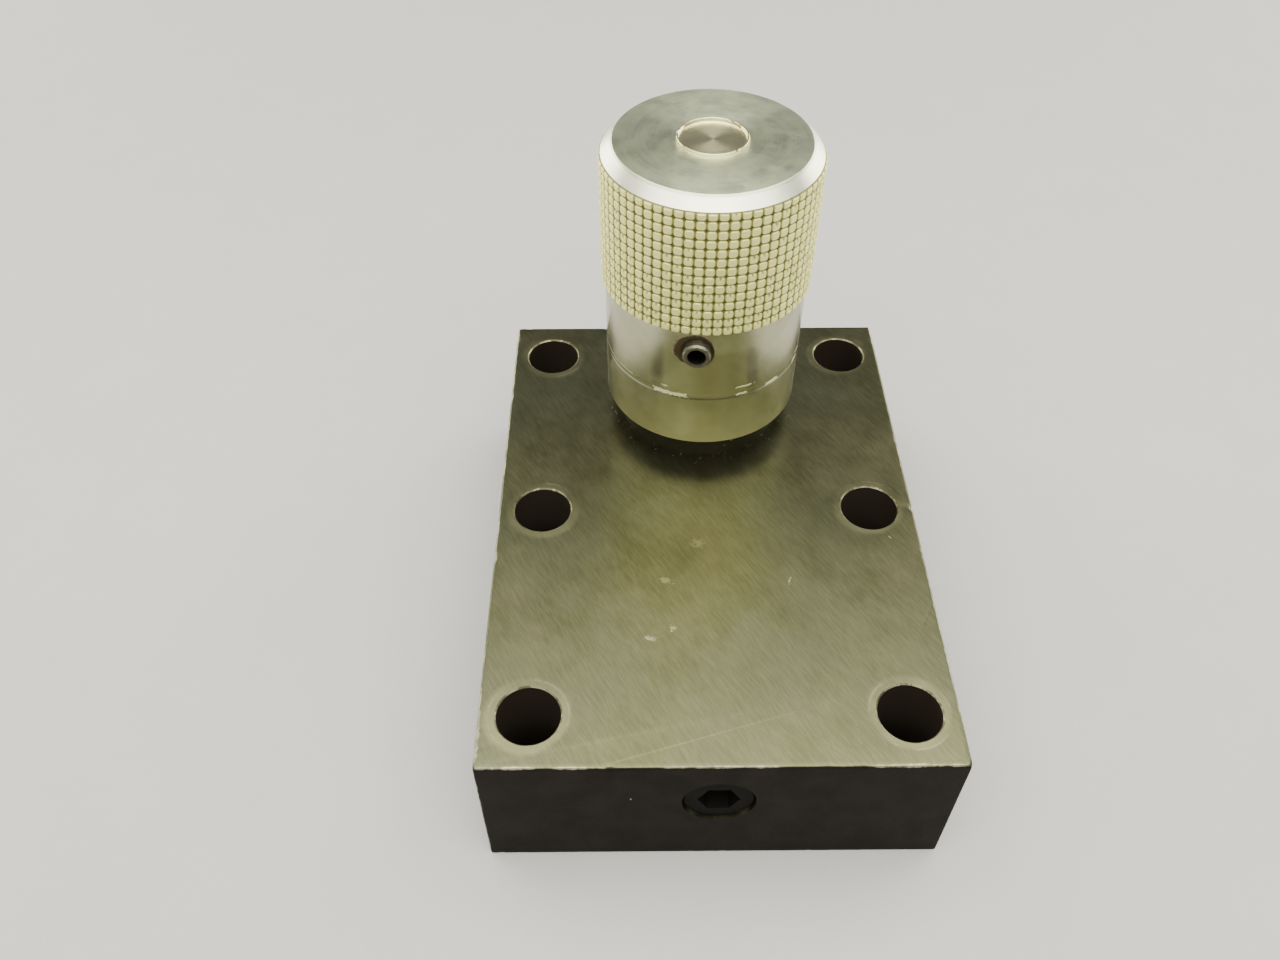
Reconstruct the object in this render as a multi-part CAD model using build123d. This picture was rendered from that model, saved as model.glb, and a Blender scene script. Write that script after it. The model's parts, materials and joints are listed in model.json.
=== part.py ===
from build123d import *
from math import cos, radians, sin
import os

# Subplate-mounted throttle and check valve: one black steel block with six bolt holes, two ports in its
# bottom face, and a knurled knob that screws a throttle piston up and down over a spring-loaded check sleeve.
#
# Millimetres. The origin is the centre of the block's bottom (mounting) face, +Z is up and the knob stands
# at the +Y end. The pieces are drawn at rest: the valve part open, the check sleeve on its seat.

# ---- Block ----
block_width = 76.0             # along X
block_length = 104.5           # along Y
block_height = 29.5
block_edge_break = 0.4         # chamfer on the outer edges
bolt_hole_diameter = 10.3
bolt_edge_x = 8.0              # side face to hole centre
bolt_edge_y = 9.25             # end face to hole centre of an end row
bolt_rows = 3
hole_edge_break = 0.25

# ---- Ports and drillings ----
knob_axis_to_back = 22.9       # the knob's axis, which is port B's too, to the block's back face
port_diameter = 13.0
port_a_depth = 16.0
port_seal_width = 2.6          # radial width of the seal recess around a port
port_seal_depth = 1.9
cross_drill_diameter = 10.2
cross_drill_below_top = 11.25
cross_drill_entry = 6.0        # how far the drilling runs on inside the chamber's wall
plug_diameter = 11.8
plug_length = 10.0
plug_recess = 0.5
plug_socket_across_flats = 6.0
plug_socket_depth = 5.0

# ---- Throttle piston and its travel ----
stem_diameter = 12.0
needle_diameter = 9.0
closed_gap = 0.5               # skirt to block with the valve shut
rest_gap = 5.7                 # skirt to block at rest
lift_to_open = 2.8             # travel left above rest
needle_tip_bevel = 1.1
notch_width = 1.6
notch_depth = 2.2
notch_length = 4.5

# ---- Seat, check sleeve and spring ----
port_b_land = 2.1              # port wall between the seal recess and the seat ring
seat_ring_height = 4.4
seat_ring_wall = 3.8
seat_step = 0.76               # seat bore radius less that of the sleeve's nose
check_lift = 3.0
check_nose_wall = 0.5
check_nose_height = 2.2
check_land = 3.35              # length of the bore that the needle meters in
check_wall = 1.2
check_guide_length = 3.5
check_windows = 6
window_diameter = 4.0
stem_room = 0.4                # free radius around the stem inside the check sleeve
spring_pocket_depth = 3.2
spring_wire = 1.2
spring_turns = 3.5

# ---- Bonnet, seal bush and seals ----
shank_length = 9.0             # threaded length inside the block
bonnet_wall = 3.02             # shank wall around the sleeve's guide bore
neck_step = 0.9                # neck radius less shank radius
flange_step = 2.2              # flange radius less neck radius
flange_height = 9.0
thread_relief = 0.7            # chamber wall inside the shank's thread
face_seal_width = 2.1
face_seal_depth = 2.4
bush_above_block = 1.0
bush_length = 8.0
bush_wall = 1.06
shoulder_step = 0.7            # holds the bush from above
stem_seal_width = 1.5
stem_seal_height = 1.8
backup_height = 1.0
seal_edge_land = 1.4           # bush metal above the upper seal groove
bush_seal_width = 1.1
bush_seal_height = 1.4
guide_pin_diameter = 2.0
keyway_depth = 1.2
pin_reach = 1.0                # how far the pin stands in the keyway

# ---- Spindle ----
thread_step = 1.0              # thread radius less stem radius
swivel_head_diameter = 7.2
swivel_head_height = 2.2
swivel_neck_diameter = 4.0
swivel_neck_height = 1.6
stop_ring_thickness = 1.2
stop_ring_width = 1.3
stop_ring_above_end = 0.6
journal_diameter = 8.0
key_width = 2.0
key_length = 4.0

# ---- Knob ----
skirt_wall = 2.34              # around the flange
skirt_length = 26.4
knurl_step = 0.72              # knurled radius less skirt radius
knurl_length = 25.9
knob_chamfer = 2.36
hub_thickness = 5.6
scribe_above_skirt = 11.7      # middle of the scribed band
scribe_height = 1.4
scribe_depth = 0.12

# ---- Knob fixing and cap ----
cap_diameter = 12.0
cap_wall = 0.35
cap_proud = 0.55
cap_dish = 0.65                # rim down to the cap's face
cap_floor = 1.35
fixing_screw_diameter = 5.0
fixing_head_diameter = 8.5
fixing_head_height = 5.0
fixing_screw_length = 14.0
fixing_socket_across_flats = 4.0
fixing_washer_thickness = 1.0
fixing_washer_diameter = 10.6
fixing_room = 0.4              # free height over the screw head

# ---- Lock screw ----
lock_angle = -7.0              # degrees about +Z from straight to the front
lock_above_skirt = 21.9
lock_screw_diameter = 5.0
lock_proud = 1.2               # screw's face outside the skirt
lock_countersink = 0.75        # radius of the mouth less that of the screw
lock_socket_across_flats = 2.5
lock_socket_depth = 1.6
lock_pad_thickness = 0.8
lock_pad_gap = 0.3             # pad to neck, unlocked

# ---- Clearances ----
seal_roundness = 0.45          # corner radius of a squeezed seal, as a share of its thinner side
running = 0.04                 # radial, where one piece slides or turns in another
thread_gap = 0.05              # radial, male to female thread
seat_gap = 0.05                # check sleeve to its seat
body_gap = 0.3                 # pieces that move past each other and don't fit
fixed_gap = 0.02               # pieces of one body that don't press together

# ---- Places that follow ----
knob_y = block_length / 2 - knob_axis_to_back
lift_from_closed = rest_gap - closed_gap

stem_r = stem_diameter / 2
needle_r = needle_diameter / 2
land_r = needle_r + running
spring_r = stem_r + stem_room + body_gap + spring_wire / 2
pocket_r = spring_r + spring_wire / 2 + body_gap
sleeve_r = pocket_r + check_wall
guide_r = sleeve_r + running
shank_r = guide_r + bonnet_wall
neck_r = shank_r + neck_step
flange_r = neck_r + flange_step
chamber_r = shank_r - thread_relief
face_seal_r = shank_r + face_seal_width
bush_r = stem_r + running + stem_seal_width + bush_wall
shoulder_r = bush_r - shoulder_step
thread_r = stem_r + thread_step
port_r = port_diameter / 2
port_seal_r = port_r + port_seal_width
nose_r = land_r + check_nose_wall
seat_bore_r = nose_r + seat_step
seat_ring_r = seat_bore_r + seat_ring_wall
cavity_r = neck_r + body_gap
pocket_flange_r = flange_r + body_gap
skirt_r = pocket_flange_r + skirt_wall
knurl_r = skirt_r + knurl_step
cap_r = cap_diameter / 2
journal_r = journal_diameter / 2
lock_r = lock_screw_diameter / 2

drill_z = block_height - cross_drill_below_top
seat_ring_z = port_seal_depth + port_b_land
seat_z = seat_ring_z + seat_ring_height
bonnet_foot_z = block_height - shank_length
bush_z = block_height + bush_above_block
bush_top_z = bush_z + bush_length
flange_top_z = block_height + flange_height

nose_z = seat_z + seat_gap - seat_step
land_top_z = nose_z + check_land
sleeve_top_z = bonnet_foot_z + check_guide_length
pocket_z = sleeve_top_z - spring_pocket_depth
window_z = (land_top_z + pocket_z) / 2

needle_tip_z = nose_z + seat_gap + body_gap + lift_from_closed
shoulder_z = land_top_z + check_lift + lift_from_closed + body_gap
keyway_z = bush_top_z + lift_from_closed
pin_z = keyway_z + lift_to_open + guide_pin_diameter / 2 + body_gap
piston_top_z = pin_z + guide_pin_diameter / 2 + lift_from_closed + body_gap
spindle_z = piston_top_z + body_gap
stop_ring_z = spindle_z + stop_ring_above_end
step_z = stop_ring_z + stop_ring_thickness + lift_to_open + body_gap

skirt_z = block_height + rest_gap
knurl_z = skirt_z + skirt_length
knob_top_z = knurl_z + knurl_length
cap_z = knob_top_z + cap_proud - cap_dish - cap_floor
hub_top_z = cap_z - fixing_room - fixing_head_height - fixing_washer_thickness
hub_z = hub_top_z - hub_thickness
neck_top_z = hub_z - lift_from_closed - body_gap
flange_pocket_z = flange_top_z + lift_from_closed + body_gap
scribe_z = skirt_z + scribe_above_skirt
lock_z = skirt_z + lock_above_skirt


# ---- Helpers ----
def turned(*outline):
    """A body turned about Z from its (radius, height) outline."""
    return revolve(Plane.XZ * make_face(Polyline(*outline, close=True)), Axis.Z)


def ring(inner_r, outer_r, low_z, high_z):
    return turned((inner_r, low_z), (outer_r, low_z), (outer_r, high_z), (inner_r, high_z))


def rod(radius, low_z, high_z):
    return Pos(0, 0, low_z) * Cylinder(radius, high_z - low_z, align=(Align.CENTER, Align.CENTER, Align.MIN))


def seal(inner_r, outer_r, low_z, high_z):
    """A rubber ring squeezed into its groove."""
    width = outer_r - inner_r
    height = high_z - low_z
    section = RectangleRounded(width, height, seal_roundness * min(width, height))
    middle = Pos((inner_r + outer_r) / 2, (low_z + high_z) / 2)
    return revolve(Plane.XZ * (middle * section), Axis.Z)


def hexagon(across_flats, low_z, high_z):
    outline = RegularPolygon(across_flats / 2, 6, major_radius=False)
    return Pos(0, 0, low_z) * extrude(outline, high_z - low_z)


def on_knob_axis(shape):
    return Pos(0, knob_y, 0) * shape


def on_lock_axis(shape):
    """Place a shape, drawn along Z as distance from the knob's axis, on the lock screw's line."""
    return Pos(0, knob_y, lock_z) * Rot(0, 0, lock_angle) * Rot(90, 0, 0) * shape


def save(shape, node):
    export_step(shape, f"parts/{node}.step")


# ---- Pieces fixed to the block ----
def bolt_places():
    half_x = block_width / 2 - bolt_edge_x
    half_y = block_length / 2 - bolt_edge_y
    spacing = 2 * half_y / (bolt_rows - 1)
    for row in range(bolt_rows):
        for side in (-1, 1):
            yield side * half_x, row * spacing - half_y


def body_block():
    block = Pos(0, 0, block_height / 2) * Box(block_width, block_length, block_height)
    block = chamfer(block.edges(), block_edge_break)
    hole_r = bolt_hole_diameter / 2
    mouth_r = hole_r + hole_edge_break
    hole = turned(
        (0, 0),
        (mouth_r, 0),
        (hole_r, hole_edge_break),
        (hole_r, block_height - hole_edge_break),
        (mouth_r, block_height),
        (0, block_height),
    )
    for x, y in bolt_places():
        block -= Pos(x, y, 0) * hole
    block -= on_knob_axis(valve_bore())
    block -= Pos(0, -knob_y, 0) * (rod(port_r, 0, port_a_depth) + rod(port_seal_r, 0, port_seal_depth))
    return block - cross_drill()


def valve_bore():
    """The stepped bore from port B up to the bonnet."""
    return turned(
        (0, 0),
        (port_seal_r, 0),
        (port_seal_r, port_seal_depth),
        (port_r, port_seal_depth),
        (port_r, seat_ring_z),
        (seat_ring_r + fixed_gap, seat_ring_z),
        (seat_ring_r + fixed_gap, seat_z),
        (chamber_r, seat_z),
        (chamber_r, bonnet_foot_z - thread_relief),
        (shank_r + thread_gap, bonnet_foot_z),
        (shank_r + thread_gap, block_height - face_seal_depth),
        (face_seal_r, block_height - face_seal_depth),
        (face_seal_r, block_height),
        (0, block_height),
    )


def cross_drill():
    """The drilling from the front face, over port A, to the chamber, with its plug's thread."""
    front_y = -block_length / 2
    length = knob_y - chamber_r + cross_drill_entry - front_y
    place = Pos(0, front_y, drill_z) * Rot(-90, 0, 0)
    flow = rod(cross_drill_diameter / 2, 0, length)
    thread = rod(plug_diameter / 2 + thread_gap, 0, plug_recess + plug_length)
    return place * (flow + thread)


def front_plug():
    plug = rod(plug_diameter / 2, plug_recess, plug_recess + plug_length)
    plug = chamfer(plug.edges(), block_edge_break)
    plug -= hexagon(plug_socket_across_flats, plug_recess, plug_recess + plug_socket_depth)
    return Pos(0, -block_length / 2, drill_z) * Rot(-90, 0, 0) * plug


def port_seal(y):
    return Pos(0, y, 0) * seal(port_r + body_gap, port_seal_r - fixed_gap, 0, port_seal_depth - fixed_gap)


def seat_ring():
    return on_knob_axis(ring(seat_bore_r, seat_ring_r, seat_ring_z, seat_z))


def bonnet():
    """The screwed-in neck that carries the spindle's thread and the seal bush."""
    break_r = block_edge_break
    body = turned(
        (guide_r, bonnet_foot_z),
        (shank_r - thread_relief, bonnet_foot_z),
        (shank_r, bonnet_foot_z + thread_relief),
        (shank_r, block_height),
        (flange_r, block_height),
        (flange_r, flange_top_z - break_r),
        (flange_r - break_r, flange_top_z),
        (neck_r, flange_top_z),
        (neck_r, neck_top_z - break_r),
        (neck_r - break_r, neck_top_z),
        (thread_r + thread_gap, neck_top_z),
        (thread_r + thread_gap, step_z),
        (shoulder_r, step_z),
        (shoulder_r, bush_top_z),
        (bush_r + fixed_gap, bush_top_z),
        (bush_r + fixed_gap, bush_z),
        (guide_r, bush_z),
    )
    return on_knob_axis(body - pin_line(guide_pin_diameter / 2 + fixed_gap, 0, neck_r + break_r))


def pin_line(radius, low, high):
    """A cylinder across the neck, from one distance behind the knob's axis to another."""
    return Pos(0, 0, pin_z) * Rot(-90, 0, 0) * rod(radius, low, high)


def guide_pin():
    pin = pin_line(guide_pin_diameter / 2, stem_r - pin_reach, neck_r - body_gap)
    return on_knob_axis(pin)


def bonnet_o_ring():
    inner_r = shank_r + fixed_gap
    outer_r = face_seal_r - fixed_gap
    low_z = block_height - face_seal_depth + fixed_gap
    return on_knob_axis(seal(inner_r, outer_r, low_z, block_height - fixed_gap))


def stem_groove_z():
    """The lower end of the groove for the stem's seal and backup ring."""
    return bush_top_z - seal_edge_land - backup_height - stem_seal_height


def seal_bush():
    """The bush that guides the stem, with a groove inside and one outside."""
    bore_r = stem_r + running
    body = ring(bore_r, bush_r, bush_z, bush_top_z)
    inner_low = stem_groove_z()
    body -= ring(0, bore_r + stem_seal_width, inner_low, inner_low + stem_seal_height + backup_height)
    outer_low = bush_z + seal_edge_land / 2
    groove_r = bush_r - bush_seal_width
    body -= ring(groove_r, bush_r + body_gap, outer_low, outer_low + bush_seal_height)
    return on_knob_axis(body)


def stem_o_ring():
    low_z = stem_groove_z()
    outer_r = stem_r + running + stem_seal_width - fixed_gap
    return on_knob_axis(seal(stem_r + running, outer_r, low_z + fixed_gap, low_z + stem_seal_height))


def stem_backup_ring():
    low_z = stem_groove_z() + stem_seal_height + fixed_gap
    outer_r = stem_r + running + stem_seal_width - fixed_gap
    return on_knob_axis(ring(stem_r + running, outer_r, low_z, low_z + backup_height - 2 * fixed_gap))


def bush_o_ring():
    low_z = bush_z + seal_edge_land / 2 + fixed_gap
    inner_r = bush_r - bush_seal_width + fixed_gap
    return on_knob_axis(seal(inner_r, bush_r, low_z, low_z + bush_seal_height - 2 * fixed_gap))


# ---- Check valve ----
def check_sleeve():
    """The sleeve that seats on port B, meters with the needle and lifts for free return flow."""
    cone = nose_z + check_nose_height
    cone_r = nose_r + check_nose_height
    body = turned(
        (land_r, nose_z),
        (nose_r, nose_z),
        (cone_r, cone),
        (sleeve_r, cone),
        (sleeve_r, sleeve_top_z),
        (pocket_r, sleeve_top_z),
        (pocket_r, pocket_z),
        (stem_r + stem_room, pocket_z),
        (stem_r + stem_room, land_top_z),
        (land_r, land_top_z),
    )
    window = Pos(0, 0, window_z) * Rot(0, 90, 0) * rod(window_diameter / 2, land_r, sleeve_r + body_gap)
    for turn in range(check_windows):
        body -= Rot(0, 0, turn * 360 / check_windows) * window
    return on_knob_axis(body)


def check_spring():
    """The coil spring between the sleeve's pocket and the seal bush."""
    low_z = pocket_z + fixed_gap + spring_wire / 2
    height = bush_z - fixed_gap - spring_wire / 2 - low_z
    path = Helix(height / spring_turns, height, spring_r)
    wire = sweep((path ^ 0) * Circle(spring_wire / 2), path=path, is_frenet=True)
    return on_knob_axis(Pos(0, 0, low_z) * wire)


# ---- Throttle piston ----
def throttle_piston():
    """The sliding, non-turning piston: a notched needle below, a swivel socket for the spindle on top."""
    body = turned(
        (0, needle_tip_z),
        (needle_r - needle_tip_bevel, needle_tip_z),
        (needle_r, needle_tip_z + needle_tip_bevel),
        (needle_r, shoulder_z),
        (stem_r, shoulder_z),
        (stem_r, piston_top_z),
        (0, piston_top_z),
    )
    notch = Pos(needle_r, 0, needle_tip_z) * Rot(90, 0, 0) * extrude(
        make_face(Polyline((-notch_depth, 0), (notch_depth, 0), (0, notch_length), close=True)),
        notch_width / 2,
        both=True,
    )
    body -= notch
    body -= Rot(0, 0, 180) * notch
    keyway = Box(guide_pin_diameter + 2 * running, 2 * keyway_depth, piston_top_z - keyway_z)
    body -= Pos(0, stem_r, (piston_top_z + keyway_z) / 2) * keyway
    return on_knob_axis(body - swivel_slot())


def swivel_slot():
    """The T-shaped slot, open to one side, that the spindle's button head hooks into."""
    neck_r = swivel_neck_diameter / 2 + body_gap / 2
    head_r = swivel_head_diameter / 2 + body_gap / 2
    neck_low = piston_top_z - swivel_neck_height
    head_low = neck_low - swivel_head_height - 2 * running
    neck = rod(neck_r, neck_low, piston_top_z)
    head = rod(head_r, head_low, neck_low)
    side_x = stem_r / 2
    neck += Pos(side_x, 0, (neck_low + piston_top_z) / 2) * Box(stem_r, 2 * neck_r, piston_top_z - neck_low)
    head += Pos(side_x, 0, (head_low + neck_low) / 2) * Box(stem_r, 2 * head_r, neck_low - head_low)
    return neck + head


# ---- Spindle and what is fixed to it ----
def spindle():
    """The threaded spindle: swivel head, stop-ring groove, thread, and the journal for the knob's hub."""
    head_r = swivel_head_diameter / 2
    head_top = piston_top_z - swivel_neck_height - running
    swivel_neck_r = swivel_neck_diameter / 2
    groove_r = stop_ring_inner_r()
    groove_top = stop_ring_z + stop_ring_thickness + fixed_gap
    journal_top = hub_top_z - fixed_gap
    body = turned(
        (0, head_top - swivel_head_height),
        (head_r, head_top - swivel_head_height),
        (head_r, head_top),
        (swivel_neck_r, head_top),
        (swivel_neck_r, spindle_z),
        (thread_r - block_edge_break, spindle_z),
        (thread_r - block_edge_break, stop_ring_z - fixed_gap),
        (groove_r, stop_ring_z - fixed_gap),
        (groove_r, groove_top),
        (thread_r, groove_top),
        (thread_r, hub_z),
        (journal_r, hub_z),
        (journal_r, journal_top),
        (0, journal_top),
    )
    tap_z = hub_top_z + fixing_washer_thickness - fixing_screw_length - body_gap
    body -= rod(fixing_screw_diameter / 2 + fixed_gap, tap_z, journal_top)
    return on_knob_axis(body - key_seat())


def stop_ring_inner_r():
    return shoulder_r - body_gap - stop_ring_width


def stop_ring():
    """The snap ring that stops the spindle under the neck's thread."""
    outer_r = shoulder_r - body_gap
    body = ring(stop_ring_inner_r() + fixed_gap, outer_r, stop_ring_z, stop_ring_z + stop_ring_thickness)
    middle_z = stop_ring_z + stop_ring_thickness / 2
    gap = Pos(outer_r, 0, middle_z) * Box(2 * stop_ring_width, 2 * stop_ring_width, stop_ring_thickness)
    return on_knob_axis(body - gap)


def key_block(gap):
    """The parallel key half sunk in the journal, grown by a gap all round."""
    width = key_width + 2 * gap
    place = Pos(0, journal_r, hub_z + hub_thickness / 2)
    return place * Box(width, width, key_length + 2 * gap)


def key_seat():
    return key_block(fixed_gap)


def drive_key():
    return on_knob_axis(key_block(0))


def fixing_washer():
    low_z = hub_top_z
    inner_r = fixing_screw_diameter / 2 + fixed_gap
    return on_knob_axis(ring(inner_r, fixing_washer_diameter / 2, low_z, low_z + fixing_washer_thickness))


def fixing_screw():
    seat = hub_top_z + fixing_washer_thickness
    top = seat + fixing_head_height
    head = chamfer(rod(fixing_head_diameter / 2, seat, top).edges().group_by(Axis.Z)[-1], block_edge_break)
    shank = rod(fixing_screw_diameter / 2, seat - fixing_screw_length, seat)
    socket = hexagon(fixing_socket_across_flats, seat + fixing_head_height / 2, top)
    return on_knob_axis(head + shank - socket)


def cover_cap():
    """The thin-walled cup pressed in the knob's centre, rim up."""
    rim_z = knob_top_z + cap_proud
    face_z = rim_z - cap_dish
    return on_knob_axis(turned(
        (0, cap_z),
        (cap_r, cap_z),
        (cap_r, rim_z),
        (cap_r - cap_wall, rim_z),
        (cap_r - cap_wall, face_z),
        (0, face_z),
    ))


def knob():
    """The knurled head and plain skirt, bored for the neck, the flange, the spindle and its fixing."""
    screw_bore_r = fixing_washer_diameter / 2 + body_gap
    body = turned(
        (cavity_r, flange_pocket_z),
        (pocket_flange_r, flange_pocket_z),
        (pocket_flange_r, skirt_z),
        (skirt_r - block_edge_break, skirt_z),
        (skirt_r, skirt_z + block_edge_break),
        (skirt_r, scribe_z - scribe_height / 2),
        (skirt_r - scribe_depth, scribe_z - scribe_height / 2),
        (skirt_r - scribe_depth, scribe_z + scribe_height / 2),
        (skirt_r, scribe_z + scribe_height / 2),
        (skirt_r, knurl_z),
        (knurl_r, knurl_z),
        (knurl_r, knob_top_z - knob_chamfer),
        (knurl_r - knob_chamfer, knob_top_z),
        (cap_r + fixed_gap, knob_top_z),
        (cap_r + fixed_gap, cap_z),
        (screw_bore_r, cap_z),
        (screw_bore_r, hub_top_z),
        (journal_r + fixed_gap, hub_top_z),
        (journal_r + fixed_gap, hub_z),
        (cavity_r, hub_z),
    )
    return on_knob_axis(body - key_seat()) - lock_bore()


# ---- Lock screw ----
def lock_bore():
    thread = rod(lock_r + thread_gap, neck_r, skirt_r + body_gap)
    mouth_r = lock_r + thread_gap + lock_countersink
    mouth = turned(
        (0, skirt_r - lock_countersink),
        (lock_r + thread_gap, skirt_r - lock_countersink),
        (mouth_r, skirt_r),
        (mouth_r, skirt_r + body_gap),
        (0, skirt_r + body_gap),
    )
    return on_lock_axis(thread + mouth)


def lock_pad():
    """The soft pad that the lock screw pushes on the neck."""
    low = neck_r + lock_pad_gap
    return on_lock_axis(rod(lock_r - running, low, low + lock_pad_thickness))


def lock_screw():
    low = neck_r + lock_pad_gap + lock_pad_thickness + running
    high = skirt_r + lock_proud
    screw = chamfer(rod(lock_r, low, high).edges(), block_edge_break)
    screw -= hexagon(lock_socket_across_flats, high - lock_socket_depth, high)
    return on_lock_axis(screw)


# ---- Build ----
os.makedirs("parts", exist_ok=True)

for make in (
    body_block, front_plug, seat_ring, bonnet, guide_pin, bonnet_o_ring, seal_bush, stem_o_ring,
    stem_backup_ring, bush_o_ring, check_sleeve, check_spring, throttle_piston, spindle, stop_ring,
    drive_key, fixing_washer, fixing_screw, cover_cap, knob, lock_pad, lock_screw,
):
    save(make(), make.__name__)

save(port_seal(-knob_y), "port_seal_a")
save(port_seal(knob_y), "port_seal_b")
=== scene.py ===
import json
import math
import random

import bmesh
import bpy
import numpy as np
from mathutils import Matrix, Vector, noise


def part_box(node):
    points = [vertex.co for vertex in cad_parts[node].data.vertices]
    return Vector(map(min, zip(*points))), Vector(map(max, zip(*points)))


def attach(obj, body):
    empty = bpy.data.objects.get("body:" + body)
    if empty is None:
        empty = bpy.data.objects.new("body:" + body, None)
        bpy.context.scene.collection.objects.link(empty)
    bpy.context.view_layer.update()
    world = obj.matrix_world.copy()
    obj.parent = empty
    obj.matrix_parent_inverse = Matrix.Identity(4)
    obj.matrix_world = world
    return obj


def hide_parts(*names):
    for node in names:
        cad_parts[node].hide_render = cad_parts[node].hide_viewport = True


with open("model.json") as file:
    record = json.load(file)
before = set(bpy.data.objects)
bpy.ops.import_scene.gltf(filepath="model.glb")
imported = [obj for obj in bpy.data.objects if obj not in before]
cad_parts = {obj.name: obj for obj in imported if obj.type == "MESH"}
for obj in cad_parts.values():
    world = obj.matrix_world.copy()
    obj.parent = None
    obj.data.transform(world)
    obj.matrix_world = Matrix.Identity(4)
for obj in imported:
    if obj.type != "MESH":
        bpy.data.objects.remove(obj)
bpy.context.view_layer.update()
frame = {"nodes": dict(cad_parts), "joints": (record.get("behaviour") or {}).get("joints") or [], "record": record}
MM = 0.001

# ---------------------------------------------------------------- places, read from the frame
block_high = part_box("body_block")[1]
knob_low, knob_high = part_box("knob")
cap_low, cap_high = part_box("cover_cap")
plug_low, plug_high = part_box("front_plug")
seat_low, seat_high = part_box("seat_ring")
bonnet_low, bonnet_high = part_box("bonnet")
face_seal_low, face_seal_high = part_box("bonnet_o_ring")
seal_a_low, seal_a_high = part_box("port_seal_a")
seal_b_low, seal_b_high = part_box("port_seal_b")
mounts = {mount["name"]: mount for mount in frame["record"]["mounts"]}
joints = {joint["name"]: joint for joint in frame["joints"]}

top_z = block_high.z
half_width = block_high.x
half_length = block_high.y
axis_x, axis_y, _ = joints["knob_turn"]["pos_m"]
knob_axis = (axis_x, axis_y)
knurl_r = (knob_high.x - knob_low.x) / 2
knob_top_z = knob_high.z
skirt_z = knob_low.z
cap_r = (cap_high.x - cap_low.x) / 2
lock_out = Vector(joints["lock_screw_turn"]["axis"]).normalized()
lock_centre = Vector(joints["lock_screw_turn"]["pos_m"])
bolts = mounts["corner_bolts"]["dims"]
bolt_r = bolts["hole_r_mm"] * MM
bolt_x = bolts["spacing_x_mm"] / 2 * MM
bolt_y = bolts["spacing_y_mm"] / 2 * MM
port_r = mounts["port_a"]["dims"]["r_mm"] * MM
port_length = mounts["port_a"]["dims"]["length_mm"] * MM

# ---------------------------------------------------------------- sizes that the frame doesn't hold
KNURL_COLUMNS = 66
KNURL_PHASE = 0.53              # of a column, from +X to the first groove
KNURL_ROWS = 15                 # enough to pass the knurl's upper edge
KNURL_PITCH = 1.735 * MM
KNURL_OFFSET = 0.13 * MM        # the lowest groove starts this far below the knurl's lower edge
KNURL_LENGTH = 25.9 * MM
KNURL_STEP = 0.72 * MM          # knurled radius less skirt radius
KNURL_DEPTH = 0.34 * MM
CHAMFER = 2.36 * MM
SCRIBE_Z = 11.7 * MM            # middle of the scribed band, above the skirt's lower edge
SCRIBE_HEIGHT = 1.4 * MM
SCRIBE_DEPTH = 0.05 * MM
SCRIBE_SLOPE = 0.35 * MM
SKIRT_WALL = 2.34 * MM
FLANGE_POCKET = 8.8 * MM        # depth of the wide bore in the skirt
CAVITY_STEP = 2.2 * MM          # wide bore's radius less that of the bore above it
CAVITY_TOP = 13.45 * MM         # hub's underside, below the knob's top
HUB_FLOOR = 7.85 * MM           # hub's upper side, below the knob's top
JOURNAL_R = 4.02 * MM           # hub's bore, on the spindle
SCREW_BORE_R = 5.6 * MM         # room over the hub for the fixing screw's head and washer
CAP_WALL = 0.35 * MM
CAP_DISH = 0.65 * MM            # cup's face, below its rim
EDGE_BREAK = 0.4 * MM
CORNER_R = 0.4 * MM             # block's upright corners
BOLT_LIP = 0.25 * MM            # countersink at each end of a bolt hole
THREAD_RELIEF = 0.7 * MM
SEAL_WIDTH = 2.1 * MM           # of the bonnet O-ring's recess
SEAL_DEPTH = 2.4 * MM
FIT = 0.02 * MM                 # round a ring or the cup that sits in its recess
GAP = 0.05 * MM                 # round a plain cylinder that stands for a thread
OVER = 1 * MM                   # how far a cutter reaches past the face that it opens
DRILL_R = 5.1 * MM              # cross drilling
DRILL_STOP = 6 * MM             # where it ends, short of the knob's axis
LOCK_R = 2.5 * MM
LOCK_MOUTH = 0.75 * MM
LOCK_PITCH = 0.8 * MM
THREAD_DEPTH = 0.42 * MM
HEX_LOCK = 2.5 * MM
SOCKET_DEPTH = 1.9 * MM
SOCKET_MOUTH = 0.65             # radius of the socket's round mouth, as a share of the hex

knurl_z = knob_top_z - KNURL_LENGTH
skirt_r = knurl_r - KNURL_STEP


# ---------------------------------------------------------------- mesh helpers
def piece(name, mesh, body, slot, *replaced):
    """Make an object of a mesh, ride it on a body and hide the CAD nodes it stands for."""
    made = bpy.data.objects.new(name, mesh)
    bpy.context.scene.collection.objects.link(made)
    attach(made, body)
    if replaced:
        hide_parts(*replaced)
    return made


def rounded(outline, steps=5):
    """(radius, height) points of an outline of (radius, height, corner radius) entries."""
    corners = [Vector(entry[:2]) for entry in outline]
    points = []
    for index, (_, _, corner_r) in enumerate(outline):
        corner = corners[index]
        if not corner_r:
            points.append(corner)
            continue
        back = (corners[index - 1] - corner).normalized()
        ahead = (corners[(index + 1) % len(corners)] - corner).normalized()
        half = back.angle(ahead) / 2
        centre = corner + (back + ahead).normalized() * corner_r / math.sin(half)
        start = corner + back * corner_r / math.tan(half) - centre
        end = corner + ahead * corner_r / math.tan(half) - centre
        first = math.atan2(start.y, start.x)
        turn = (math.atan2(end.y, end.x) - first + math.pi) % math.tau - math.pi
        for step in range(steps + 1):
            angle = first + turn * step / steps
            points.append(centre + Vector((math.cos(angle), math.sin(angle))) * corner_r)
    return points


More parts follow.
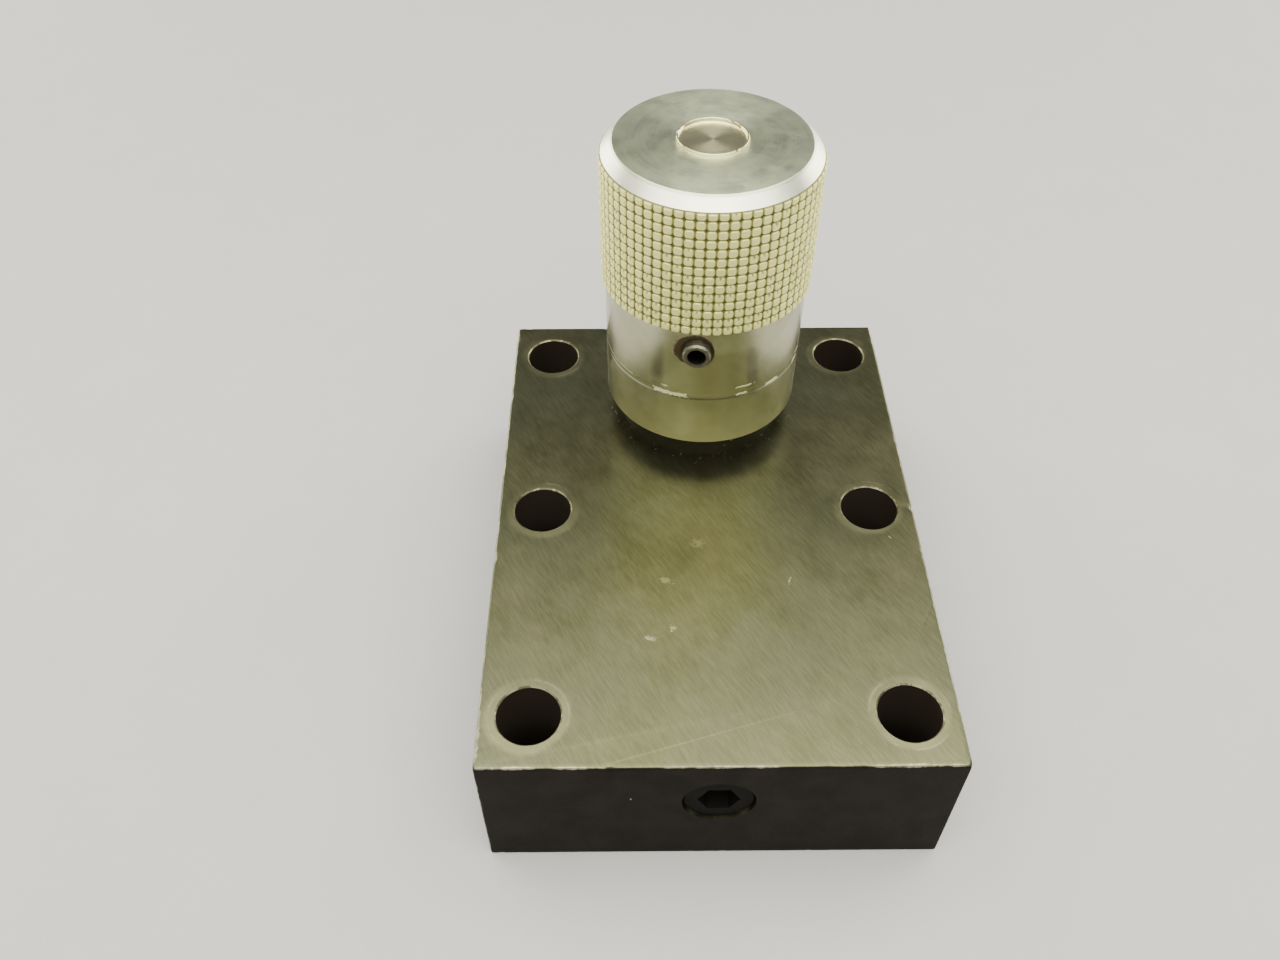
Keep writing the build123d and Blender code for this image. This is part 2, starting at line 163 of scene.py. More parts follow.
def lathe(name, points, segments, about=knob_axis):
    """A closed (radius, height) outline turned about a vertical axis. It closes on the axis at radius 0."""
    bm = bmesh.new()
    rings = []
    for radius, height in points:
        if radius < 1e-9:
            rings.append([bm.verts.new((about[0], about[1], height))])
            continue
        turns = [math.tau * k / segments for k in range(segments)]
        rings.append([
            bm.verts.new((about[0] + radius * math.cos(t), about[1] + radius * math.sin(t), height))
            for t in turns
        ])
    for ring, following in zip(rings, rings[1:] + rings[:1]):
        skin(bm, ring, following)
    return finished(name, bm)


def skin(bm, ring, following):
    """Faces between two rings, either of which may be a single point."""
    count = max(len(ring), len(following))
    if count == 1:
        return
    for k in range(count):
        loop = []
        for row, order in ((ring, (k, k + 1)), (following, (k + 1, k))):
            for step in order:
                vertex = row[step % len(row)]
                if vertex not in loop:
                    loop.append(vertex)
        bm.faces.new(loop)


def finished(name, bm, sharp=32):
    """Turn a bmesh into a smooth-shaded mesh with its normals outward and its edges sharp."""
    bmesh.ops.recalc_face_normals(bm, faces=bm.faces)
    mesh = bpy.data.meshes.new(name)
    bm.to_mesh(mesh)
    bm.free()
    shade(mesh, sharp)
    return mesh


def shade(mesh, sharp=32):
    """Shade a mesh smooth, but for edges that are sharper than an angle in degrees."""
    mesh.shade_smooth()
    mesh.set_sharp_from_angle(angle=math.radians(sharp))


def cut(mesh, cutters, sharp=32):
    """A mesh less a list of cutter meshes."""
    target = bpy.data.objects.new("target", mesh)
    bpy.context.scene.collection.objects.link(target)
    tools = []
    for cutter in cutters:
        tool = bpy.data.objects.new("tool", cutter)
        bpy.context.scene.collection.objects.link(tool)
        tools.append(tool)
        modifier = target.modifiers.new("cut", "BOOLEAN")
        modifier.operation = "DIFFERENCE"
        modifier.solver = "EXACT"
        modifier.object = tool
    graph = bpy.context.evaluated_depsgraph_get()
    result = bpy.data.meshes.new_from_object(target.evaluated_get(graph))
    for helper in [target] + tools:
        bpy.data.objects.remove(helper)
    result.name = mesh.name
    shade(result, sharp)
    return result


def aim(mesh, origin, direction):
    """Turn a mesh that is drawn along +Z so that it points along a direction from an origin."""
    mesh.transform(direction.to_track_quat("Z", "Y").to_matrix().to_4x4())
    for vertex in mesh.vertices:
        vertex.co += origin
    return mesh


def hex_prism(name, across_flats, low, high):
    """A hexagonal cutter along Z with a shallow drill point at its lower end."""
    bm = bmesh.new()
    corner_r = across_flats / math.sqrt(3)
    corners = [(corner_r * math.cos(math.radians(60 * k)), corner_r * math.sin(math.radians(60 * k)))
               for k in range(6)]
    rows = [[bm.verts.new((x, y, z)) for x, y in corners] for z in (low, high)]
    skin(bm, *rows)
    bm.faces.new(rows[1])
    skin(bm, rows[0], [bm.verts.new((0, 0, low - across_flats / 5))])
    return finished(name, bm)


# ---------------------------------------------------------------- block
def perimeter(inset, spacing=0.45 * MM, corner_steps=4):
    """Points round the block, always as many, at a distance inside its faces."""
    corner_r = max(CORNER_R - inset, 0.02 * MM)
    half_x = half_width - inset - corner_r
    half_y = half_length - inset - corner_r
    count_x = int(2 * half_width / spacing)
    count_y = int(2 * half_length / spacing)
    corners = ((half_x, -half_y, -90, count_y), (half_x, half_y, 0, count_x),
               (-half_x, half_y, 90, count_y), (-half_x, -half_y, 180, count_x))
    points = []
    for index, (x, y, first, count) in enumerate(corners):
        for step in range(corner_steps + 1):
            turn = math.radians(first + 90 * step / corner_steps)
            points.append(Vector((x + corner_r * math.cos(turn), y + corner_r * math.sin(turn))))
        x_next, y_next, first_next, _ = corners[(index + 1) % 4]
        turn = math.radians(first_next)
        target = Vector((x_next + corner_r * math.cos(turn), y_next + corner_r * math.sin(turn)))
        start = points[-1]
        points += [start.lerp(target, step / count) for step in range(1, count)]
    return points


def block_levels():
    """(height, inset) of the rings from the bottom face, over the sides, to the top face."""
    quarter = [math.radians(angle) for angle in (0, 22.5, 45, 67.5, 90)]
    side = [(EDGE_BREAK * (1 - math.cos(t)), EDGE_BREAK * (1 - math.sin(t))) for t in quarter]
    lower = [(0, 2 * EDGE_BREAK)] + side
    middle = [(EDGE_BREAK * 3, 0), (top_z / 2, 0), (top_z - EDGE_BREAK * 3, 0)]
    upper = [(top_z - height, inset) for height, inset in reversed(lower)]
    return lower + middle + upper


def nicks():
    """Dents in the block's edges: (place, radius, depth). A few large ones, then many small ones."""
    dice = random.Random(41)
    dents = [
        (Vector((half_width, -half_length, top_z)), 0.9 * MM, 0.22 * MM),
        (Vector((-half_width, -half_length, top_z)), 0.8 * MM, 0.16 * MM),
        (Vector((-0.45 * half_width, -half_length, top_z)), 0.7 * MM, 0.25 * MM),
        (Vector((half_width, 0.0, top_z)), 0.8 * MM, 0.28 * MM),
        (Vector((-half_width, -0.22 * half_length, top_z)), 0.8 * MM, 0.22 * MM),
    ]
    for _ in range(110):
        along = dice.uniform(-1, 1)
        side = dice.choice((-1, 1))
        across_x = dice.random() < 0.45
        x = along * half_width if across_x else side * half_width
        y = side * half_length if across_x else along * half_length
        z = top_z if dice.random() < 0.8 else 0
        size = dice.uniform(0.25, 0.7) * MM
        dents.append((Vector((x, y, z)), size, size * dice.uniform(0.10, 0.24)))
    return dents


def wear_edges(bm):
    """Dent the edges, and make their break a little uneven."""
    edge_verts = [v for v in bm.verts if min(v.co.z, top_z - v.co.z) < 4 * EDGE_BREAK]
    dents = nicks()
    for v in edge_verts:
        inside = Vector((-v.co.x / half_width, -v.co.y / half_length, 0))
        near_x = abs(v.co.x) > half_width - 4 * EDGE_BREAK
        near_y = abs(v.co.y) > half_length - 4 * EDGE_BREAK
        upward = 1 if v.co.z < top_z / 2 else -1
        inside = Vector((inside.x if near_x else 0, inside.y if near_y else 0, upward)).normalized()
        proud = max(0.0, 1 - min(v.co.z, top_z - v.co.z) / (2 * EDGE_BREAK))
        rim = max(0.0, 1 - min(half_width - abs(v.co.x), half_length - abs(v.co.y)) / (2 * EDGE_BREAK))
        ripple = 0.5 + 0.5 * noise.noise(v.co * 900)
        move = 0.04 * MM * ripple * proud * rim
        for place, radius, depth in dents:
            away = (v.co - place).length / radius
            if away < 1:
                move = max(move, depth * (1 - away * away))
        v.co += inside * move


def block_shell():
    """The block without its holes."""
    bm = bmesh.new()
    rings = []
    for height, inset in block_levels():
        rings.append([bm.verts.new((p.x, p.y, height)) for p in perimeter(inset)])
    for ring, following in zip(rings, rings[1:]):
        skin(bm, ring, following)
    bm.faces.new(list(reversed(rings[0])))
    bm.faces.new(rings[-1])
    wear_edges(bm)
    return finished("block", bm)


def bolt_cutter(x, y):
    """A through hole with a small countersink at each end."""
    mouth = bolt_r + BOLT_LIP + OVER
    outline = [(0, -OVER), (mouth, -OVER), (bolt_r, BOLT_LIP), (bolt_r, top_z - BOLT_LIP),
               (mouth, top_z + OVER), (0, top_z + OVER)]
    return lathe("bolt_cutter", outline, 96, (x, y))


def port_a_cutter():
    """The blind port with its O-ring recess."""
    recess_r = (seal_a_high.x - seal_a_low.x) / 2 + FIT
    recess = seal_a_high.z + FIT
    depth = recess + port_length
    outline = [(0, -OVER), (recess_r, -OVER), (recess_r, recess),
               (port_r, recess), (port_r, depth), (0, depth)]
    return lathe("port_a_cutter", outline, 96, (axis_x, mounts["port_a"]["pos_m"][1]))


def valve_bore_cutter():
    """The stepped bore from port B, past the seat ring and the chamber, up to the bonnet's flange."""
    recess_r = (seal_b_high.x - seal_b_low.x) / 2 + FIT
    recess = seal_b_high.z + FIT
    ring_r = (seat_high.x - seat_low.x) / 2 + FIT
    wide_r = (face_seal_high.x - face_seal_low.x) / 2 + FIT
    shank_r = wide_r - SEAL_WIDTH + GAP
    chamber_r = shank_r - THREAD_RELIEF - GAP
    outline = [
        (0, -OVER), (recess_r, -OVER), (recess_r, recess), (port_r, recess), (port_r, seat_low.z),
        (ring_r, seat_low.z), (ring_r, seat_high.z), (chamber_r, seat_high.z),
        (chamber_r, bonnet_low.z - THREAD_RELIEF), (shank_r, bonnet_low.z), (shank_r, top_z - SEAL_DEPTH),
        (wide_r, top_z - SEAL_DEPTH), (wide_r, top_z + OVER), (0, top_z + OVER),
    ]
    return lathe("valve_bore_cutter", outline, 128)


def drill_cutter():
    """The cross drilling from the front face, with its wider plug thread."""
    plug_r = (plug_high.x - plug_low.x) / 2 + GAP
    plug_end = plug_high.y + half_length
    length = axis_y + half_length - DRILL_STOP
    outline = [(0, -OVER), (plug_r, -OVER), (plug_r, plug_end),
               (DRILL_R, plug_end), (DRILL_R, length), (0, length)]
    place = Vector((0, -half_length, (plug_low.z + plug_high.z) / 2))
    return aim(lathe("drill_cutter", outline, 96, (0, 0)), place, Vector((0, 1, 0)))


def make_block():
    """The block with its bolt holes, ports, valve bore and cross drilling."""
    holes = [bolt_cutter(side * bolt_x, row * bolt_y) for row in (-1, 0, 1) for side in (-1, 1)]
    mesh = cut(block_shell(), holes + [port_a_cutter(), drill_cutter(), valve_bore_cutter()])
    mesh.materials.append(block_steel())
    return piece("block", mesh, "housing", "block_steel", "body_block")


# ---------------------------------------------------------------- knob
# where one pad of the knurl has its rows and columns of points, as shares of the pitch
CELL_STEPS = (0.0, 0.07, 0.14, 0.22, 0.36, 0.5, 0.64, 0.78, 0.86, 0.93)
GROOVE_FLOOR = 0.06             # half a groove's floor, as a share of the pitch
GROOVE_HALF = 0.16              # half a groove's mouth


def groove(share):
    """How deep a groove is, from 0 to 1, at a share of the way from one groove to the next."""
    away = np.minimum(share % 1, 1 - share % 1)
    return np.clip((GROOVE_HALF - away) / (GROOVE_HALF - GROOVE_FLOOR), 0, 1)


def knurl_cut(turns, heights):
    """Depth below the knurled radius for every height and turn: crossing grooves, and pads that are
    crowned, unevenly worn and, on the lower rows, notched where the tool tracked twice."""
    dice = np.random.RandomState(5)
    column = turns * KNURL_COLUMNS / math.tau - KNURL_PHASE
    row = (heights - knurl_z + KNURL_OFFSET) / KNURL_PITCH
    u, v = np.meshgrid(column, row)
    in_column = np.floor(u + 1e-6).astype(int) % KNURL_COLUMNS
    in_row = np.floor(v + 1e-6).astype(int)
    across = u - np.floor(u + 1e-6)
    up = v - np.floor(v + 1e-6)
    shape = (in_row.max() + 1, KNURL_COLUMNS)
    wear = dice.uniform(0, 0.14, shape)[in_row, in_column]
    lean = dice.uniform(-0.10, 0.10, shape)[in_row, in_column] * (across - 0.5)
    likely = np.clip(0.95 - 0.09 * in_row, 0.08, 1)
    notched = dice.uniform(0, 1, shape)[in_row, in_column] < likely
    notch_across = np.clip(1 - np.abs(across - 0.5) / 0.20, 0, 1)
    notch_up = np.clip((up - 0.45) / 0.25, 0, 1)
    notch = notch_across * notch_up * notched * 0.55
    crown = (np.abs(across - 0.5) ** 2 + np.abs(up - 0.5) ** 2) * 0.35
    corner = np.clip((np.abs(across - 0.5) + np.abs(up - 0.5) - 0.60) / 0.18, 0, 1)
    deep = np.maximum(0.72 * np.maximum(groove(u), groove(v)), corner)
    return KNURL_DEPTH * np.clip(np.maximum(deep, crown + wear + lean + notch), 0, 1)


def knob_profile():
    """The knob's closed outline as (radius, height, zone) rows; zone "knurl" rows are cut by the knurl."""
    pocket_r = skirt_r - SKIRT_WALL
    cavity_r = pocket_r - CAVITY_STEP
    cavity_z = skirt_z + FLANGE_POCKET
    hub_z = knob_top_z - CAVITY_TOP
    hub_floor = knob_top_z - HUB_FLOOR
    cap_floor = cap_low.z
    scribe_low = skirt_z + SCRIBE_Z - SCRIBE_HEIGHT / 2
    scribe_high = scribe_low + SCRIBE_HEIGHT
    scribe_r = skirt_r - SCRIBE_DEPTH
    bore_r = cap_r + FIT
    face_r = knurl_r - CHAMFER
    face = rounded([
        (bore_r, knob_top_z, 0.12 * MM), (face_r, knob_top_z, 0.2 * MM),
        (face_r + 1 * MM, knob_top_z - 1 * MM, 0), (bore_r, cap_floor, 0)])[:-2]
    rows = [(point.x, point.y, "face") for point in face]
    start = knob_top_z - CHAMFER
    for height in np.linspace(knob_top_z - 0.35 * MM, start + 0.5 * MM, 8):
        rows.append((knurl_r - (height - start), height, "chamfer"))
    lowest = knurl_z - KNURL_OFFSET
    heights = [lowest + KNURL_PITCH * (row + share) for row in range(KNURL_ROWS) for share in CELL_STEPS]
    heights = [height for height in heights if knurl_z + 0.02 * MM < height < start - 0.02 * MM]
    heights += [knurl_z] + [start + step * 0.1 * MM for step in range(5)]
    rows += [(knurl_r, height, "knurl") for height in sorted(heights, reverse=True)]
    rows.append((skirt_r, knurl_z, "skirt"))
    skirt = rounded([
        (skirt_r, knurl_z - 0.02 * MM, 0), (skirt_r, scribe_high, 0.3 * MM),
        (scribe_r, scribe_high - SCRIBE_SLOPE, 0.3 * MM), (scribe_r, scribe_low + SCRIBE_SLOPE, 0.3 * MM),
        (skirt_r, scribe_low, 0.3 * MM), (skirt_r, skirt_z, 0.55 * MM),
        (pocket_r, skirt_z, 0.25 * MM), (pocket_r, cavity_z, 0), (cavity_r, cavity_z, 0.2 * MM),
        (cavity_r, hub_z, 0), (JOURNAL_R, hub_z, 0), (JOURNAL_R, hub_floor, 0), (SCREW_BORE_R, hub_floor, 0),
        (SCREW_BORE_R, cap_floor, 0), (bore_r, cap_floor, 0)])
    return rows + [(point.x, point.y, "skirt") for point in skirt]


def lock_cutter():
    """The lock screw's threaded hole and its countersunk mouth."""
    hole_r = LOCK_R + GAP
    inner = skirt_r - SKIRT_WALL - CAVITY_STEP - OVER
    outline = [(0, inner), (hole_r, inner), (hole_r, skirt_r - LOCK_MOUTH),
               (hole_r + LOCK_MOUTH + OVER, skirt_r + OVER), (0, skirt_r + OVER)]
    return aim(lathe("lock_cutter", outline, 64, (0, 0)), lock_centre, lock_out)


def make_knob():
    """The knob: its outline turned about the axis, cut by the knurl, with a finish for each zone."""
    turns = np.array([(column + KNURL_PHASE + share) * math.tau / KNURL_COLUMNS
                      for column in range(KNURL_COLUMNS) for share in CELL_STEPS])
    rows = knob_profile()
    radius = np.array([row[0] for row in rows])[:, None] * np.ones_like(turns)
    height = np.array([row[1] for row in rows])
    knurled = np.array([row[2] == "knurl" for row in rows])
    chamfer_r = knurl_r - np.clip(height - (knob_top_z - CHAMFER), 0, None)
    cut_r = knurl_r - knurl_cut(turns, height[knurled])
    radius[knurled] = np.minimum(cut_r, chamfer_r[knurled][:, None])
    points = np.stack([
        axis_x + radius * np.cos(turns), axis_y + radius * np.sin(turns),
        np.repeat(height[:, None], len(turns), 1)], -1).reshape(-1, 3)
    count = len(turns)
    first = np.arange(len(rows))[:, None] * count
    follow = np.roll(np.arange(len(rows)), -1)[:, None] * count
    here = np.arange(count)[None, :]
    beside = (here + 1) % count
    faces = np.stack([first + here, first + beside, follow + beside, follow + here], -1).reshape(-1, 4)
    mesh = bpy.data.meshes.new("knob_grip")
    mesh.from_pydata(points.tolist(), [], faces.tolist())
    finishes = {"knurl": knurl_metal(), "chamfer": chamfer_metal(),
                "face": face_metal(), "skirt": skirt_metal()}
    for finish in finishes.values():
        mesh.materials.append(finish)
    row_zone = [list(finishes).index(row[2]) for row in rows]
    mesh.polygons.foreach_set("material_index", np.repeat(row_zone, count).astype(np.int32))
    bm = bmesh.new()
    bm.from_mesh(mesh)
    bmesh.ops.recalc_face_normals(bm, faces=bm.faces)
    bm.to_mesh(mesh)
    bm.free()
    return piece("knob_grip", cut(mesh, [lock_cutter()], 28), "knob", "knob_aluminium", "knob")


def make_cap():
    """The thin-walled cup in the knob's centre, its rim a little battered."""
    rim_z = cap_high.z
    face_z = rim_z - CAP_DISH
    inner_r = cap_r - CAP_WALL
    outline = [(0, cap_low.z, 0), (cap_r, cap_low.z, 0), (cap_r, rim_z, 0.13 * MM),
               (inner_r, rim_z, 0.13 * MM), (inner_r, face_z, 0.12 * MM),
               (inner_r * 0.6, face_z, 0), (0, face_z, 0)]
    mesh = lathe("cover_cup", rounded(outline, 4), 192)
    dents = ((172, 0.8 * MM, 0.26 * MM), (55, 0.6 * MM, 0.22 * MM), (310, 0.5 * MM, 0.12 * MM))
    for angle, size, depth in dents:
        turn = math.radians(angle)
        dent = Vector((axis_x + cap_r * math.cos(turn), axis_y + cap_r * math.sin(turn), rim_z))
        for vertex in mesh.vertices:
            away = (vertex.co - dent).length / size
            if away < 1 and vertex.co.z > rim_z - 0.2 * MM:
                vertex.co.z -= depth * (1 - away * away)
    mesh.materials.append(cap_metal())
    return piece("cover_cup", mesh, "knob", "cap_steel", "cover_cap")


def make_lock_screw():
    """The set screw, with thread grooves, chamfered ends and a hex socket with a round mouth."""
    corners = [Vector(v.co) for v in frame["nodes"]["lock_screw"].data.vertices]
    reach = [(corner - lock_centre).dot(lock_out) for corner in corners]
    low, high = min(reach), max(reach)
    root_r = LOCK_R - THREAD_DEPTH
    points = [(0, low), (LOCK_R - 0.6 * MM, low), (root_r, low + 0.2 * MM)]
    height = low + 0.3 * MM
    while height + LOCK_PITCH < high - 0.3 * MM:
        points += [(LOCK_R, height + 0.05 * MM), (LOCK_R, height + 0.15 * MM),
                   (root_r, height + 0.42 * MM), (root_r, height + 0.48 * MM)]
        height += LOCK_PITCH
    points += [(LOCK_R, height + 0.05 * MM), (LOCK_R, high - 0.35 * MM), (LOCK_R - 0.3 * MM, high), (0, high)]
    body = lathe("set_screw", points, 64, (0, 0))
    mouth_z = high - 0.55 * MM
    mouth_r = SOCKET_MOUTH * HEX_LOCK
    mouth = lathe("mouth_cutter", [
        (0, mouth_z), (0.5 * HEX_LOCK, mouth_z), (mouth_r, high - 0.1 * MM),
        (mouth_r, high + OVER), (0, high + OVER)], 64, (0, 0))
    socket = hex_prism("socket_cutter", HEX_LOCK, high - SOCKET_DEPTH, high + OVER)
    mesh = aim(cut(body, [socket, mouth], 25), lock_centre, lock_out)
    mesh.materials.append(lock_metal(high))
    return piece("set_screw", mesh, "lock_screw", "screw_steel", "lock_screw")


# ---------------------------------------------------------------- materials
class Recipe:
    """A node material, built one node at a time around its Principled shader."""

    def __init__(self, name, **constants):
        self.material = bpy.data.materials.new(name)
        self.material.use_nodes = True
        self.tree = self.material.node_tree
        self.shader = self.tree.nodes["Principled BSDF"]
        for socket, value in constants.items():
            self.shader.inputs[socket.replace("_", " ")].default_value = value

    def feed(self, socket, value):
        """Link a node's output into a socket, or set the socket to a constant."""
        if isinstance(value, bpy.types.NodeSocket):
            self.tree.links.new(value, socket)
        elif value is not None:
            socket.default_value = value

    def add(self, kind, inputs=(), output=0, **settings):
        """Add a node and return one of its outputs."""
        node = self.tree.nodes.new(kind)
        for key, value in settings.items():
            setattr(node, key, value)
        for index, value in dict(inputs).items():
            self.feed(node.inputs[index], value)
        return node.outputs[output]

    def place(self):
        """Where a point lies in its own piece."""
        return self.add("ShaderNodeTexCoord", output="Object")

    def normal(self):
        """Which way the surface faces there."""
        return self.add("ShaderNodeTexCoord", output="Normal")

    def split(self, vector):
        """The X, Y and Z of a vector, or the red, green and blue of a colour."""
        node = self.tree.nodes.new("ShaderNodeSeparateXYZ")
        self.tree.links.new(vector, node.inputs[0])
        return node.outputs

    def join(self, x, y, z):
        return self.add("ShaderNodeCombineXYZ", {0: x, 1: y, 2: z})

    def stretch(self, vector, scale, turn=0.0):
        """Coordinates turned about Z and then scaled."""
        turned = self.add("ShaderNodeMapping", {"Vector": vector, "Rotation": (0, 0, turn)})
        return self.add("ShaderNodeMapping", {"Vector": turned, "Scale": scale})

    def noise(self, vector, scale=1.0, detail=3.0, rough=0.55):
        return self.add("ShaderNodeTexNoise",
                        {"Vector": vector, "Scale": scale, "Detail": detail, "Roughness": rough})

    def do(self, operation, a, b=None):
        """Arithmetic on one number or two."""
        inputs = {0: a} if b is None else {0: a, 1: b}
        return self.add("ShaderNodeMath", inputs, operation=operation)

    def times(self, *values):
        """The product of two or more numbers."""
        total = values[0]
        for value in values[1:]:
            total = self.do("MULTIPLY", total, value)
        return total

    def most(self, *values):
        """The largest of two or more numbers."""
        total = values[0]
        for value in values[1:]:
            total = self.do("MAXIMUM", total, value)
        return total

    def hypot(self, a, b):
        """The long side of a right triangle, from its other two."""
        return self.do("SQRT", self.do("ADD", self.times(a, a), self.times(b, b)))

    def sway(self, value, noise, amount):
        """A value moved up or down by a noise, by no more than half an amount."""
        return self.do("ADD", value, self.times(self.do("SUBTRACT", noise, 0.5), amount))

    def step(self, value, low, high, out_low=0.0, out_high=1.0):
        """A smooth step of a value between two limits."""
        return self.add("ShaderNodeMapRange", {0: value, 1: low, 2: high, 3: out_low, 4: out_high},
                        interpolation_type="SMOOTHSTEP")

    def blend(self, share, first, second):
        """A colour between two colours."""
        node = self.tree.nodes.new("ShaderNodeMix")
        node.data_type = "RGBA"
        self.feed(node.inputs["Factor"], share)
        for socket, value in ((node.inputs[6], first), (node.inputs[7], second)):
            self.feed(socket, (*value, 1) if isinstance(value, tuple) else value)
        return node.outputs[2]

    def between(self, share, first, second):
        """A number between two constants, as a share of the way."""
        return self.add("ShaderNodeMapRange", {0: share, 1: 0.0, 2: 1.0, 3: first, 4: second})

    def mix(self, share, first, second):
        """A number between two numbers, either of which may come from a node."""
        return self.add("ShaderNodeMix", {0: share, 2: first, 3: second}, data_type="FLOAT")

    def vector(self, operation, a, b=None, output=0):
        """Arithmetic on one vector or two. Output 1 is the one that is a number."""
        inputs = {0: a} if b is None else {0: a, 1: b}
        return self.add("ShaderNodeVectorMath", inputs, output, operation=operation)

    def bump(self, height, distance, strength=1.0, under=None):
        return self.add("ShaderNodeBump",
                        {"Height": height, "Distance": distance, "Strength": strength, "Normal": under})

    def turned(self):
        """Run the shader's highlight round the knob's axis, as on a turned face."""
        tangent = self.add("ShaderNodeTangent", direction_type="RADIAL", axis="Z")
        self.feed(self.shader.inputs["Tangent"], tangent)

    def finish(self, colour, rough, normal=None, metallic=None):
        """Feed the shader and return the material."""
        self.feed(self.shader.inputs["Base Color"], (*colour, 1) if isinstance(colour, tuple) else colour)
        self.feed(self.shader.inputs["Roughness"], rough)
        self.feed(self.shader.inputs["Normal"], normal)
        self.feed(self.shader.inputs["Metallic"], metallic)
        return self.material


GRAIN_TURN = math.radians(-32)      # of the grinding lines, about Z
# (x, y, half length, half width, strength): shares of half the block, then mm
SCUFFS = ((0.36, -0.32, 0.30, 0.75, 0.8), (-0.28, -0.55, 1.8, 0.55, 0.4), (-0.18, -0.51, 0.6, 0.7, 0.45),
          (-0.20, -0.32, 1.5, 0.9, 0.22), (-0.05, -0.16, 1.3, 1.1, 0.14))


